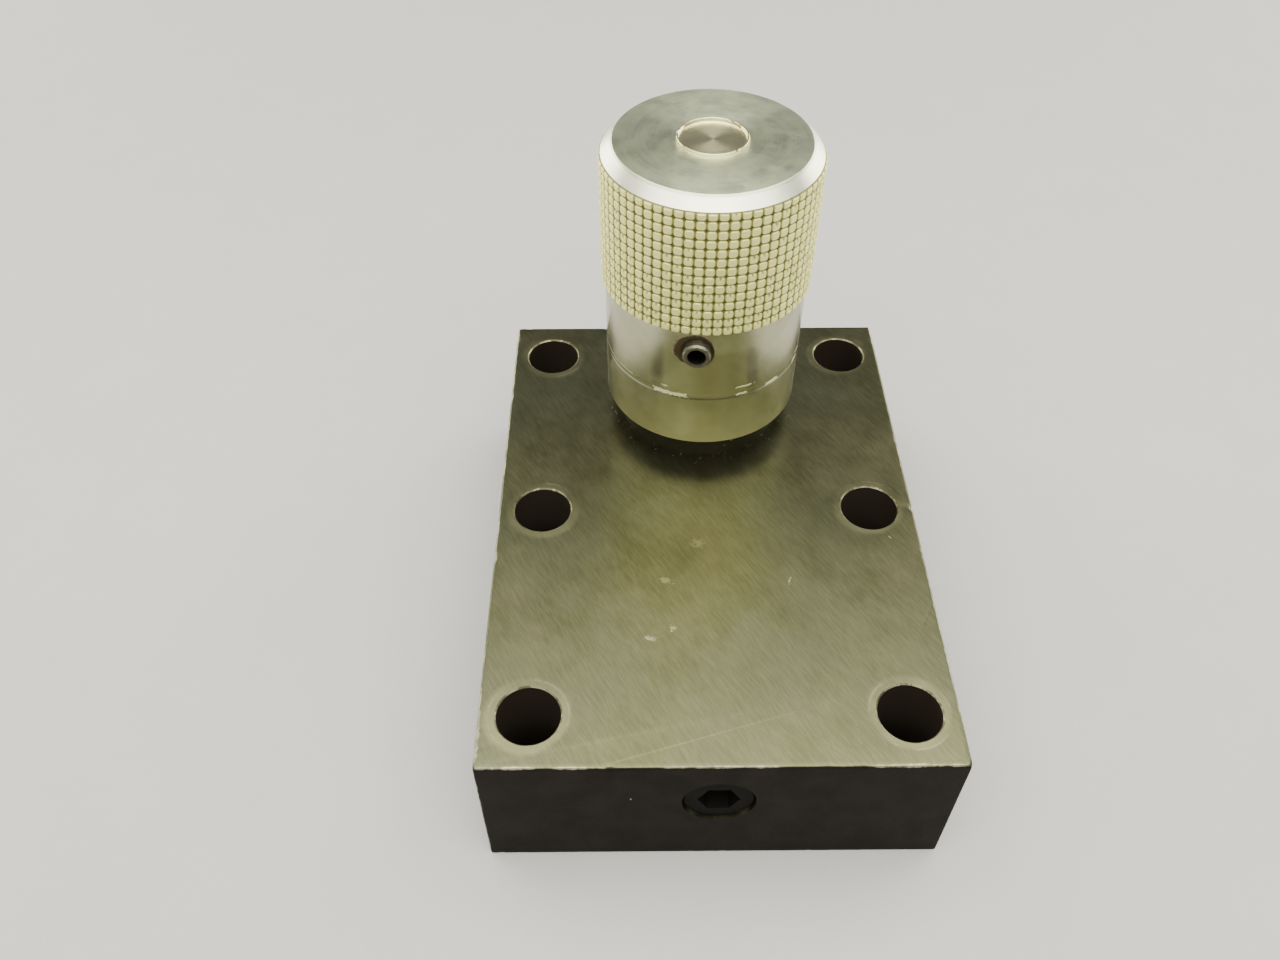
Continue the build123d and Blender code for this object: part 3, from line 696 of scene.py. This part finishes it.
def block_steel():
    """Black-oxide steel: a ground, worn top, darker matte sides, bright worn edges, rubbed bolt seats and a ring
    of painted shade round the bonnet.
    """
    r = Recipe("block_steel", Metallic=1.0, Specular_IOR_Level=0.06)
    place = r.place()
    x, y, z = r.split(place)
    normal_z = r.split(r.normal())[2]
    on_top = r.step(normal_z, 0.45, 0.9)

    grain = r.noise(r.stretch(place, (2300, 240, 400), GRAIN_TURN), detail=3)
    fine = r.noise(r.stretch(place, (6500, 500, 900), GRAIN_TURN + 0.12), detail=2)
    streaks = r.do("ADD", r.times(grain, 0.5), r.times(fine, 0.5))
    scratch = r.step(r.noise(r.stretch(place, (4200, 60, 300), GRAIN_TURN - 0.35), detail=2), 0.68, 0.76)
    mottle = r.noise(place, 150, 4, 0.6)
    patch = r.noise(place, 38, 3, 0.55)
    speckle = r.noise(place, 2600, 3, 0.6)

    from_x = r.do("SUBTRACT", half_width, r.do("ABSOLUTE", x))
    from_y = r.do("SUBTRACT", half_length, r.do("ABSOLUTE", y))
    from_side = r.do("MINIMUM", from_x, from_y)
    to_top_edge = r.do("MAXIMUM", from_side, r.do("SUBTRACT", top_z, z))
    to_low_edge = r.do("MAXIMUM", from_side, z)
    to_corner = r.do("MAXIMUM", from_x, from_y)
    uneven = r.noise(place, 520, 4, 0.7)
    patchy = r.noise(place, 70, 3, 0.6)
    reach = r.times(r.step(patchy, 0.38, 0.62, 0.15, 1.0), r.between(uneven, 0.0, 0.85 * MM),
                    r.step(x, -half_width + 2 * MM, -half_width + 4 * MM, 1.35, 1.0))
    worn = [r.step(r.do("SUBTRACT", distance, r.times(reach, share)), -0.15 * MM, end, 1.0, 0.0)
            for distance, share, end in ((to_top_edge, 1.0, 0.1 * MM), (to_low_edge, 0.3, 0.05 * MM),
                                         (to_corner, 0.45, 0.05 * MM))]
    wear = r.times(r.most(*worn), r.step(uneven, 0.35, 0.6, 0.35, 1.0))

    off_x = r.do("SUBTRACT", r.do("ABSOLUTE", x), bolt_x)
    row = r.do("ROUND", r.do("DIVIDE", y, bolt_y))
    off_y = r.do("SUBTRACT", y, r.times(row, bolt_y))
    from_hole = r.hypot(off_x, off_y)
    swing = r.times(r.do("SUBTRACT", patch, 0.5), 4 * MM)
    seat_edge = r.do("ADD", bolt_r + 1.45 * MM, swing)
    seat = r.step(r.do("SUBTRACT", from_hole, seat_edge), -0.8 * MM, 0.4 * MM, 1.0, 0.0)
    seat = r.times(seat, on_top, r.step(patchy, 0.35, 0.6, 0.25, 1.0))
    ring = r.do("ABSOLUTE", r.do("SUBTRACT", from_hole, bolt_r + 1.3 * MM))
    ring = r.times(r.step(ring, 0.05 * MM, 0.28 * MM, 1.0, 0.0), r.step(mottle, 0.50, 0.62), on_top)
    lip = r.step(from_hole, bolt_r + 0.1 * MM, bolt_r + 0.4 * MM, 1.0, 0.0)
    lip = r.times(lip, r.step(normal_z, 0.2, 0.5), r.step(uneven, 0.45, 0.6))

    cells = r.tree.nodes.new("ShaderNodeTexVoronoi")
    r.feed(cells.inputs["Vector"], r.stretch(place, (330, 110, 150), GRAIN_TURN))
    cells.inputs["Scale"].default_value = 1.0
    chance = r.split(cells.outputs["Color"])[0]
    fleck = r.times(r.step(cells.outputs["Distance"], 0.02, 0.06, 0.7, 0.0), r.step(chance, 0.86, 0.90))
    for share_x, share_y, long, wide, strength in SCUFFS:
        off = r.vector("SUBTRACT", place, (share_x * half_width, share_y * half_length, top_z))
        off = r.stretch(off, (1 / (long * MM), 1 / (wide * MM), 1 / MM), math.radians(12))
        ragged = r.sway(r.vector("LENGTH", off, output=1), r.noise(place, 1500, 3, 0.7), 3.4)
        fleck = r.most(fleck, r.step(ragged, 0.3, 1.0, strength, 0.0))

    oxide_top = r.blend(r.step(mottle, 0.3, 0.7), (0.094, 0.097, 0.055), (0.120, 0.119, 0.072))
    oxide_top = r.blend(r.step(patch, 0.36, 0.66, 0.0, 0.7), oxide_top, (0.098, 0.106, 0.070))
    oxide_top = r.blend(r.step(streaks, 0.35, 0.70, 0.0, 0.16), oxide_top, (0.31, 0.30, 0.18))
    oxide_top = r.blend(r.times(scratch, 0.14), oxide_top, (0.34, 0.33, 0.23))
    oxide_side = r.blend(r.step(mottle, 0.3, 0.7), (0.008, 0.0066, 0.0054), (0.013, 0.0105, 0.0085))
    in_hole = r.step(from_hole, bolt_r + 0.05 * MM, bolt_r + 0.2 * MM, 1.0, 0.0)
    oxide_side = r.blend(in_hole, oxide_side, (0.028, 0.022, 0.018))
    colour = r.blend(on_top, oxide_side, oxide_top)
    colour = r.blend(r.times(seat, 0.42), colour, (0.27, 0.26, 0.15))
    colour = r.blend(r.times(ring, 0.22), colour, (0.42, 0.40, 0.26))
    # A dark ring on the top round the bonnet's flange: painted shade standing for the knob's shadow and its dark
    # reflection there.
    halo = r.do("SUBTRACT", around_knob(r)[0], (bonnet_high.x - bonnet_low.x) / 2)
    painted_shade_ring = r.times(r.step(r.do("ADD", halo, swing), 0.2 * MM, 2.6 * MM, 1.0, 0.0), on_top)
    colour = r.blend(r.times(painted_shade_ring, 0.22), colour, (0.045, 0.042, 0.026))
    swarf = r.step(r.noise(r.stretch(place, (2100, 900, 900), 0.6), detail=3), 0.64, 0.68)
    swarf = r.times(swarf, r.step(halo, 1.2 * MM, 3.4 * MM, 1.0, 0.0), on_top)
    bare = r.most(r.times(wear, 0.45), fleck, r.times(lip, 0.45), r.times(swarf, 0.8))
    colour = r.blend(bare, colour, (0.55, 0.52, 0.37))

    gloss = r.do("ADD", r.times(streaks, 0.4), r.times(mottle, 0.6))
    rough = r.mix(on_top, r.between(speckle, 0.52, 0.72), r.between(gloss, 0.25, 0.42))
    rough = r.mix(bare, rough, 0.36)
    normal = r.bump(speckle, 0.004 * MM, 0.8, r.bump(r.times(streaks, on_top), 0.005 * MM))
    return r.finish(colour, rough, normal, r.between(on_top, 0.18, 1.0))


def around_knob(r):
    """Distance from the knob's axis, turn about it and height, for shading turned surfaces."""
    x, y, z = r.split(r.place())
    across = r.do("SUBTRACT", x, axis_x)
    along = r.do("SUBTRACT", y, axis_y)
    return r.hypot(across, along), r.do("ARCTAN2", along, across), z


def knurl_metal():
    """Bright aluminium pads; the grooves are darker with depth, partly grimy and partly painted shade."""
    r = Recipe("knurl_metal", Metallic=1.0)
    place = r.place()
    mottle = r.noise(place, 260, 3)
    grit = r.noise(place, 3800, 3, 0.65)
    depth = r.do("SUBTRACT", knurl_r, around_knob(r)[0])
    # Darker with depth into the grooves, and darkest at their floors: partly grimy metal, partly painted shade.
    grime_and_shade = r.step(r.sway(depth, mottle, 0.08 * MM), 0.07 * MM, 0.22 * MM)
    dirt_and_shade = r.step(depth, 0.22 * MM, 0.32 * MM)
    colour = r.blend(mottle, (0.94, 0.93, 0.38), (0.97, 0.96, 0.47))
    colour = r.blend(r.times(grime_and_shade, 0.85), colour, (0.33, 0.315, 0.12))
    colour = r.blend(r.times(dirt_and_shade, 0.8), colour, (0.12, 0.11, 0.045))
    rough = r.mix(grime_and_shade, r.between(grit, 0.56, 0.70), 0.70)
    return r.finish(colour, rough, r.bump(grit, 0.010 * MM))


def chamfer_metal():
    """A freshly turned cone, brighter and smoother than the rest."""
    r = Recipe("chamfer_metal", Metallic=1.0, Anisotropic=0.3, Anisotropic_Rotation=0.25)
    lines = r.noise(r.join(0.0, 0.0, r.times(r.split(r.place())[2], 9000.0)), detail=2)
    worn = r.noise(r.place(), 500, 4, 0.65)
    r.turned()
    colour = r.blend(worn, (0.96, 0.96, 0.82), (0.98, 0.98, 0.88))
    return r.finish(colour, r.between(worn, 0.30, 0.40), r.bump(lines, 0.004 * MM))


def face_metal():
    """The knob's faced top: rings from the tool, handling smudges and fine scratches."""
    r = Recipe("face_metal", Metallic=1.0, Anisotropic=0.5, Anisotropic_Rotation=0.25)
    radius, turn, _ = around_knob(r)
    place = r.place()
    rings = r.noise(r.join(r.times(radius, 7000.0), r.times(turn, 0.35), 0.0), detail=3)
    bands = r.noise(r.join(r.times(radius, 900.0), r.times(turn, 0.8), 4.0), detail=2)
    smudge = r.noise(place, 300, 4, 0.65)
    scratch = r.noise(r.stretch(place, (5200, 130, 500), math.radians(-58)), detail=2)
    scratch = r.step(scratch, 0.66, 0.72)
    r.turned()
    colour = r.blend(r.step(smudge, 0.35, 0.65), (0.61, 0.67, 0.50), (0.76, 0.82, 0.57))
    colour = r.blend(r.step(bands, 0.40, 0.62, 0.0, 0.5), colour, (0.82, 0.86, 0.68))
    height = r.do("ADD", rings, r.times(scratch, -0.8))
    return r.finish(colour, r.between(smudge, 0.30, 0.42), r.bump(height, 0.009 * MM))


# Patches of painted highlight on the skirt, where bright reflections of the lamps show.
# (from, to, rise, height): degrees about the knob's axis, then mm over the band's middle
GLINT_PATCHES = ((-170, -135, 0.6, 0.22), (-122, -101, 0.0, 1.0), (-117, -112, 1.5, 0.3), (-74, -63, 1.6, 0.4),
           (-74, -66, -0.1, 0.5), (-54, -44, -0.1, 0.8), (-25, -16, 1.2, 0.35), (-27, -20, -0.2, 0.5),
           (8, 30, 0.0, 0.9), (62, 74, 0.6, 0.3), (112, 138, 0.0, 1.0), (158, 167, -0.1, 0.6))


def painted_glint_patches(r, turn, rise):
    """Where the patches of painted highlight lie in and beside the scribed band."""
    ragged = r.noise(r.join(r.times(turn, 30.0), 0.0, r.times(rise, 1800.0)), detail=3)
    total = 0.0
    for start, end, middle, height in GLINT_PATCHES:
        half = math.radians(end - start) / 2
        off_turn = r.do("ABSOLUTE", r.do("SUBTRACT", turn, math.radians((start + end) / 2)))
        off_rise = r.do("ABSOLUTE", r.do("SUBTRACT", rise, middle * MM))
        in_turn = r.step(r.sway(off_turn, ragged, 0.16), half - 0.03, half, 1.0, 0.0)
        off_rise = r.sway(off_rise, ragged, 1.1 * height * MM)
        in_rise = r.step(off_rise, 0.35 * height * MM, 0.5 * height * MM, 1.0, 0.0)
        total = r.most(r.times(in_turn, in_rise), total)
    return total


def skirt_metal():
    """Satin turned aluminium with a scribed band whose lips carry painted shade, patches of painted highlight in
    and beside it, a stain round the lock screw that is partly painted shade, and a band of painted shade below the
    screw.
    """
    r = Recipe("skirt_metal", Metallic=1.0, Anisotropic=0.5, Anisotropic_Rotation=0.25)
    _, turn, z = around_knob(r)
    place = r.place()
    lines = r.noise(r.join(r.times(z, 6500.0), r.times(turn, 0.6), 0.0), detail=3)
    smudge = r.noise(place, 170, 4, 0.6)
    fine = r.noise(place, 2200, 3, 0.6)

    over_band = r.do("SUBTRACT", z, skirt_z + SCRIBE_Z)
    painted_glints = painted_glint_patches(r, turn, over_band)
    # The scribed band's sloped lips are darkened: painted shade that stops them catching light.
    edge = r.do("SUBTRACT", r.do("ABSOLUTE", over_band), SCRIBE_HEIGHT / 2 - SCRIBE_SLOPE / 2)
    edge = r.step(r.do("ABSOLUTE", edge), 0.05 * MM, 0.35 * MM, 1.0, 0.0)

    arc = r.times(r.do("SUBTRACT", turn, math.atan2(lock_out.y, lock_out.x)), skirt_r)
    rise = r.do("SUBTRACT", z, lock_centre.z)
    from_lock = r.sway(r.hypot(arc, rise), smudge, 2.6 * MM)
    from_lock = r.do("ADD", from_lock, r.times(r.do("SUBTRACT", arc, rise), 0.16))
    # A dark brown ring round the lock screw's mouth: partly stain, partly painted shade in the gap round the
    # screw.
    stain = r.step(from_lock, LOCK_R + 0.6 * MM, LOCK_R + 1.1 * MM, 1.0, 0.0)
    # A darker band beside and below the lock screw on the skirt's front: painted shade standing for the dark
    # reflection there.
    beside = r.do("ABSOLUTE", r.do("SUBTRACT", arc, 4.5 * MM))
    painted_shade_band = r.times(r.step(beside, 1.5 * MM, 7.0 * MM, 1.0, 0.0), r.step(rise, -30 * MM, -4 * MM),
                     r.step(rise, 1 * MM, -1 * MM))

    colour = r.blend(r.step(smudge, 0.35, 0.65), (0.41, 0.41, 0.27), (0.50, 0.49, 0.35))
    colour = r.blend(r.times(edge, 0.30), colour, (0.17, 0.16, 0.09))
    colour = r.blend(r.times(painted_shade_band, 0.50), colour, (0.24, 0.22, 0.11))
    colour = r.blend(r.times(stain, 0.94), colour, (0.060, 0.034, 0.018))
    # Painted highlight: light, rougher and less metallic patches standing for reflections of the lamps.
    colour = r.blend(r.times(painted_glints, 0.85), colour, (0.68, 0.69, 0.38))
    rough = r.mix(r.most(painted_glints, stain), r.between(smudge, 0.18, 0.30), 0.55)
    height = r.do("ADD", lines, r.times(fine, 0.3))
    metallic = r.do("SUBTRACT", 1.0, r.times(painted_glints, 0.75))
    return r.finish(colour, rough, r.bump(height, 0.004 * MM), metallic)


def cap_metal():
    """A finely turned disc whose light gathers in a bow tie."""
    r = Recipe("cap_metal", Metallic=1.0, Anisotropic=0.85, Anisotropic_Rotation=0.25)
    radius, turn, _ = around_knob(r)
    rings = r.noise(r.join(r.times(radius, 9000.0), r.times(turn, 0.3), 0.0), detail=2)
    worn = r.noise(r.place(), 600, 3)
    r.turned()
    colour = r.blend(worn, (0.95, 0.90, 0.54), (0.99, 0.95, 0.64))
    return r.finish(colour, r.between(worn, 0.22, 0.28), r.bump(rings, 0.004 * MM))


def screw_metal():
    """Blackened screw steel, rubbed bright on its edges and rusty in its hollows."""
    r = Recipe("screw_metal", Metallic=1.0)
    place = r.place()
    rust = r.step(r.noise(place, 900, 4, 0.65), 0.52, 0.66)
    rub = r.noise(place, 2400, 3)
    colour = r.blend(r.step(rub, 0.4, 0.65), (0.16, 0.15, 0.13), (0.36, 0.34, 0.30))
    colour = r.blend(r.times(rust, 0.7), colour, (0.20, 0.09, 0.04))
    rough = r.between(r.most(rust, rub), 0.34, 0.75)
    return r.finish(colour, rough, r.bump(rub, 0.012 * MM), r.between(rust, 1.0, 0.35))


def lock_metal(face_reach):
    """The lock screw: rubbed grey outside, its thread darker further in, its socket painted near black as shade.
    """
    r = Recipe("lock_metal", Metallic=1.0)
    place = r.place()
    rub = r.noise(place, 1500, 4, 0.6)
    from_centre = r.vector("SUBTRACT", place, tuple(lock_centre))
    reach = r.vector("DOT_PRODUCT", from_centre, tuple(lock_out), output=1)
    length = r.vector("LENGTH", from_centre, output=1)
    off = r.do("SQRT", r.do("SUBTRACT", r.times(length, length), r.times(reach, reach)))
    # The socket's inside is painted near black and rough: painted shade.
    socket_shade = r.step(off, 0.70 * HEX_LOCK, 0.62 * HEX_LOCK, 0.0, 1.0)
    thread = r.step(reach, face_reach - 0.5 * MM, face_reach - 1.2 * MM, 0.0, 0.8)
    colour = r.blend(r.step(rub, 0.35, 0.65), (0.13, 0.13, 0.10), (0.24, 0.24, 0.19))
    colour = r.blend(thread, colour, (0.050, 0.036, 0.026))
    face = r.step(off, LOCK_R - 0.40 * MM, LOCK_R - 0.25 * MM, 0.6, 0.0)
    colour = r.blend(face, colour, (0.15, 0.13, 0.09))
    colour = r.blend(socket_shade, colour, (0.008, 0.009, 0.008))
    rough = r.mix(socket_shade, r.between(rub, 0.38, 0.6), 0.8)
    return r.finish(colour, rough, r.bump(rub, 0.012 * MM))


def bonnet_metal():
    """Black-oxide turned steel with a few bright chips lying on it."""
    r = Recipe("bonnet_metal", Metallic=0.9)
    _, turn, z = around_knob(r)
    place = r.place()
    lines = r.noise(r.join(r.times(z, 5200.0), r.times(turn, 0.5), 0.0), detail=3)
    mottle = r.noise(place, 380, 4, 0.6)
    chips = r.step(r.noise(r.stretch(place, (1500, 700, 900), 0.7), detail=3), 0.70, 0.73)
    colour = r.blend(mottle, (0.030, 0.027, 0.022), (0.060, 0.054, 0.046))
    colour = r.blend(chips, colour, (0.60, 0.59, 0.55))
    return r.finish(colour, r.between(mottle, 0.36, 0.6), r.bump(lines, 0.008 * MM))


def plain_metal(name, dark, light, smooth, rough, metallic=1.0, specular=0.5):
    """Machined steel or brass: fine turning lines, stains and an uneven gloss."""
    r = Recipe(name, Metallic=metallic, Specular_IOR_Level=specular)
    place = r.place()
    lines = r.noise(r.stretch(place, (700, 700, 5200)), detail=3)
    stain = r.noise(place, 320, 4, 0.6)
    return r.finish(r.blend(stain, dark, light), r.between(stain, smooth, rough), r.bump(lines, 0.006 * MM))


def seal_rubber():
    """Moulded black rubber, faintly oily."""
    r = Recipe("seal_rubber")
    place = r.place()
    grain = r.noise(place, 2600, 4, 0.7)
    film = r.noise(place, 240, 3)
    colour = r.blend(film, (0.010, 0.010, 0.010), (0.028, 0.027, 0.026))
    return r.finish(colour, r.between(film, 0.32, 0.6), r.bump(grain, 0.010 * MM))


def seal_plastic():
    """Off-white plastic of the backup ring."""
    r = Recipe("seal_plastic")
    place = r.place()
    cloud = r.noise(place, 500, 3)
    colour = r.blend(cloud, (0.70, 0.69, 0.64), (0.82, 0.81, 0.77))
    return r.finish(colour, r.between(cloud, 0.4, 0.55), r.bump(r.noise(place, 3000, 3), 0.004 * MM))


def dress_nodes():
    """Give every CAD node its slot's material, but for nodes marked rig_replaced."""
    finishes = {
        "bonnet_steel": bonnet_metal(),
        "plug_steel": plain_metal("plug_metal", (0.0026, 0.0022, 0.0018), (0.0045, 0.0040, 0.0032),
                                  0.70, 0.85, metallic=0.2, specular=0.12),
        "screw_steel": screw_metal(),
        "hard_steel": plain_metal("hard_metal", (0.42, 0.41, 0.38), (0.56, 0.55, 0.52), 0.22, 0.38),
        "bright_steel": plain_metal("bright_metal", (0.50, 0.49, 0.46), (0.62, 0.61, 0.58), 0.24, 0.42),
        "spring_steel": plain_metal("spring_metal", (0.20, 0.20, 0.20), (0.32, 0.31, 0.30), 0.30, 0.48),
        "pad_brass": plain_metal("pad_metal", (0.55, 0.40, 0.18), (0.72, 0.55, 0.28), 0.28, 0.45),
        "seal_rubber": seal_rubber(),
        "seal_plastic": seal_plastic(),
    }
    for part in frame["record"]["subparts"]:
        finish = finishes.get(part["material_slot"])
        node = frame["nodes"][part["node"]]
        if finish and not node.get("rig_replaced"):
            node.data.materials.clear()
            node.data.materials.append(finish)


# ---------------------------------------------------------------- stage, light and camera
def make_floor():
    """A pale sheet that runs level under the valve and curves up far behind it."""
    bm = bmesh.new()
    rows = [(-1.6, 0.0), (-0.5, 0.0), (0.5, 0.0), (1.0, 0.0),
            (1.35, 0.04), (1.6, 0.16), (1.75, 0.4), (1.8, 1.2)]
    verts = [[bm.verts.new((x, y, z)) for x in (-2.2, -0.6, 0.6, 2.2)] for y, z in rows]
    for row, following in zip(verts, verts[1:]):
        for k in range(len(row) - 1):
            bm.faces.new((row[k], row[k + 1], following[k + 1], following[k]))
    mesh = finished("floor", bm, 80)
    r = Recipe("floor_paper")
    colour = r.blend(r.noise(r.place(), 60, 5, 0.6), (0.44, 0.44, 0.48), (0.47, 0.47, 0.51))
    mesh.materials.append(r.finish(colour, 0.85, r.bump(r.noise(r.place(), 1800, 3), 0.05 * MM)))
    floor = bpy.data.objects.new("floor", mesh)
    bpy.context.scene.collection.objects.link(floor)


def soft_light(name, place, aim_at, width, depth, power, colour):
    """A rectangular area light, in metres and watts."""
    data = bpy.data.lights.new(name, "AREA")
    data.shape = "RECTANGLE"
    data.size = width
    data.size_y = depth
    data.energy = power
    data.color = colour
    lamp = bpy.data.objects.new(name, data)
    bpy.context.scene.collection.objects.link(lamp)
    lamp.location = place
    lamp.rotation_mode = "QUATERNION"
    lamp.rotation_quaternion = (Vector(aim_at) - Vector(place)).to_track_quat("-Z", "Y")


def make_lights():
    """A dim sky, a large ceiling panel, a strip over the front, and a low panel behind on each side."""
    world = bpy.data.worlds.new("studio")
    bpy.context.scene.world = world
    world.use_nodes = True
    background = world.node_tree.nodes["Background"]
    background.inputs["Color"].default_value = (0.84, 0.87, 0.86, 1)
    background.inputs["Strength"].default_value = 0.27
    warm = (1.0, 0.975, 0.80)
    soft_light("ceiling", (0.0, -0.14, 0.75), (0, -0.14, 0), 1.5, 1.13, 26.2, warm)
    soft_light("front", (0.0, -0.60, 0.78), (0, 0.02, 0.07), 0.8, 0.35, 3.0, warm)
    for side in (-1, 1):
        soft_light("side", (side * 0.62, 0.52, 0.20), (0, 0.03, 0.06), 0.7, 0.34, 5.5, warm)


CAMERA_PLACE = (-13.2 * MM, -80.2 * MM, 150.2 * MM)     # from the middle of the top's front edge
CAMERA_DOWN = math.radians(47.08)                       # how far it looks down
CAMERA_RIGHT = math.radians(0.46)                       # and to the right
CAMERA_LENS = 30.64                                     # mm, on a 36 mm wide sensor


def make_camera():
    """The photograph's view: close, from above the front, a little left of the middle."""
    data = bpy.data.cameras.new("view")
    data.lens = CAMERA_LENS
    data.sensor_width = 36.0
    data.clip_start = 0.005
    data.clip_end = 20.0
    camera = bpy.data.objects.new("view", data)
    bpy.context.scene.collection.objects.link(camera)
    camera.location = Vector(CAMERA_PLACE) + Vector((0, -half_length, top_z))
    camera.rotation_euler = (math.pi / 2 - CAMERA_DOWN, 0, -CAMERA_RIGHT)
    bpy.context.scene.camera = camera


make_camera()
make_block()
make_knob()
make_cap()
make_lock_screw()
dress_nodes()
make_floor()
make_lights()
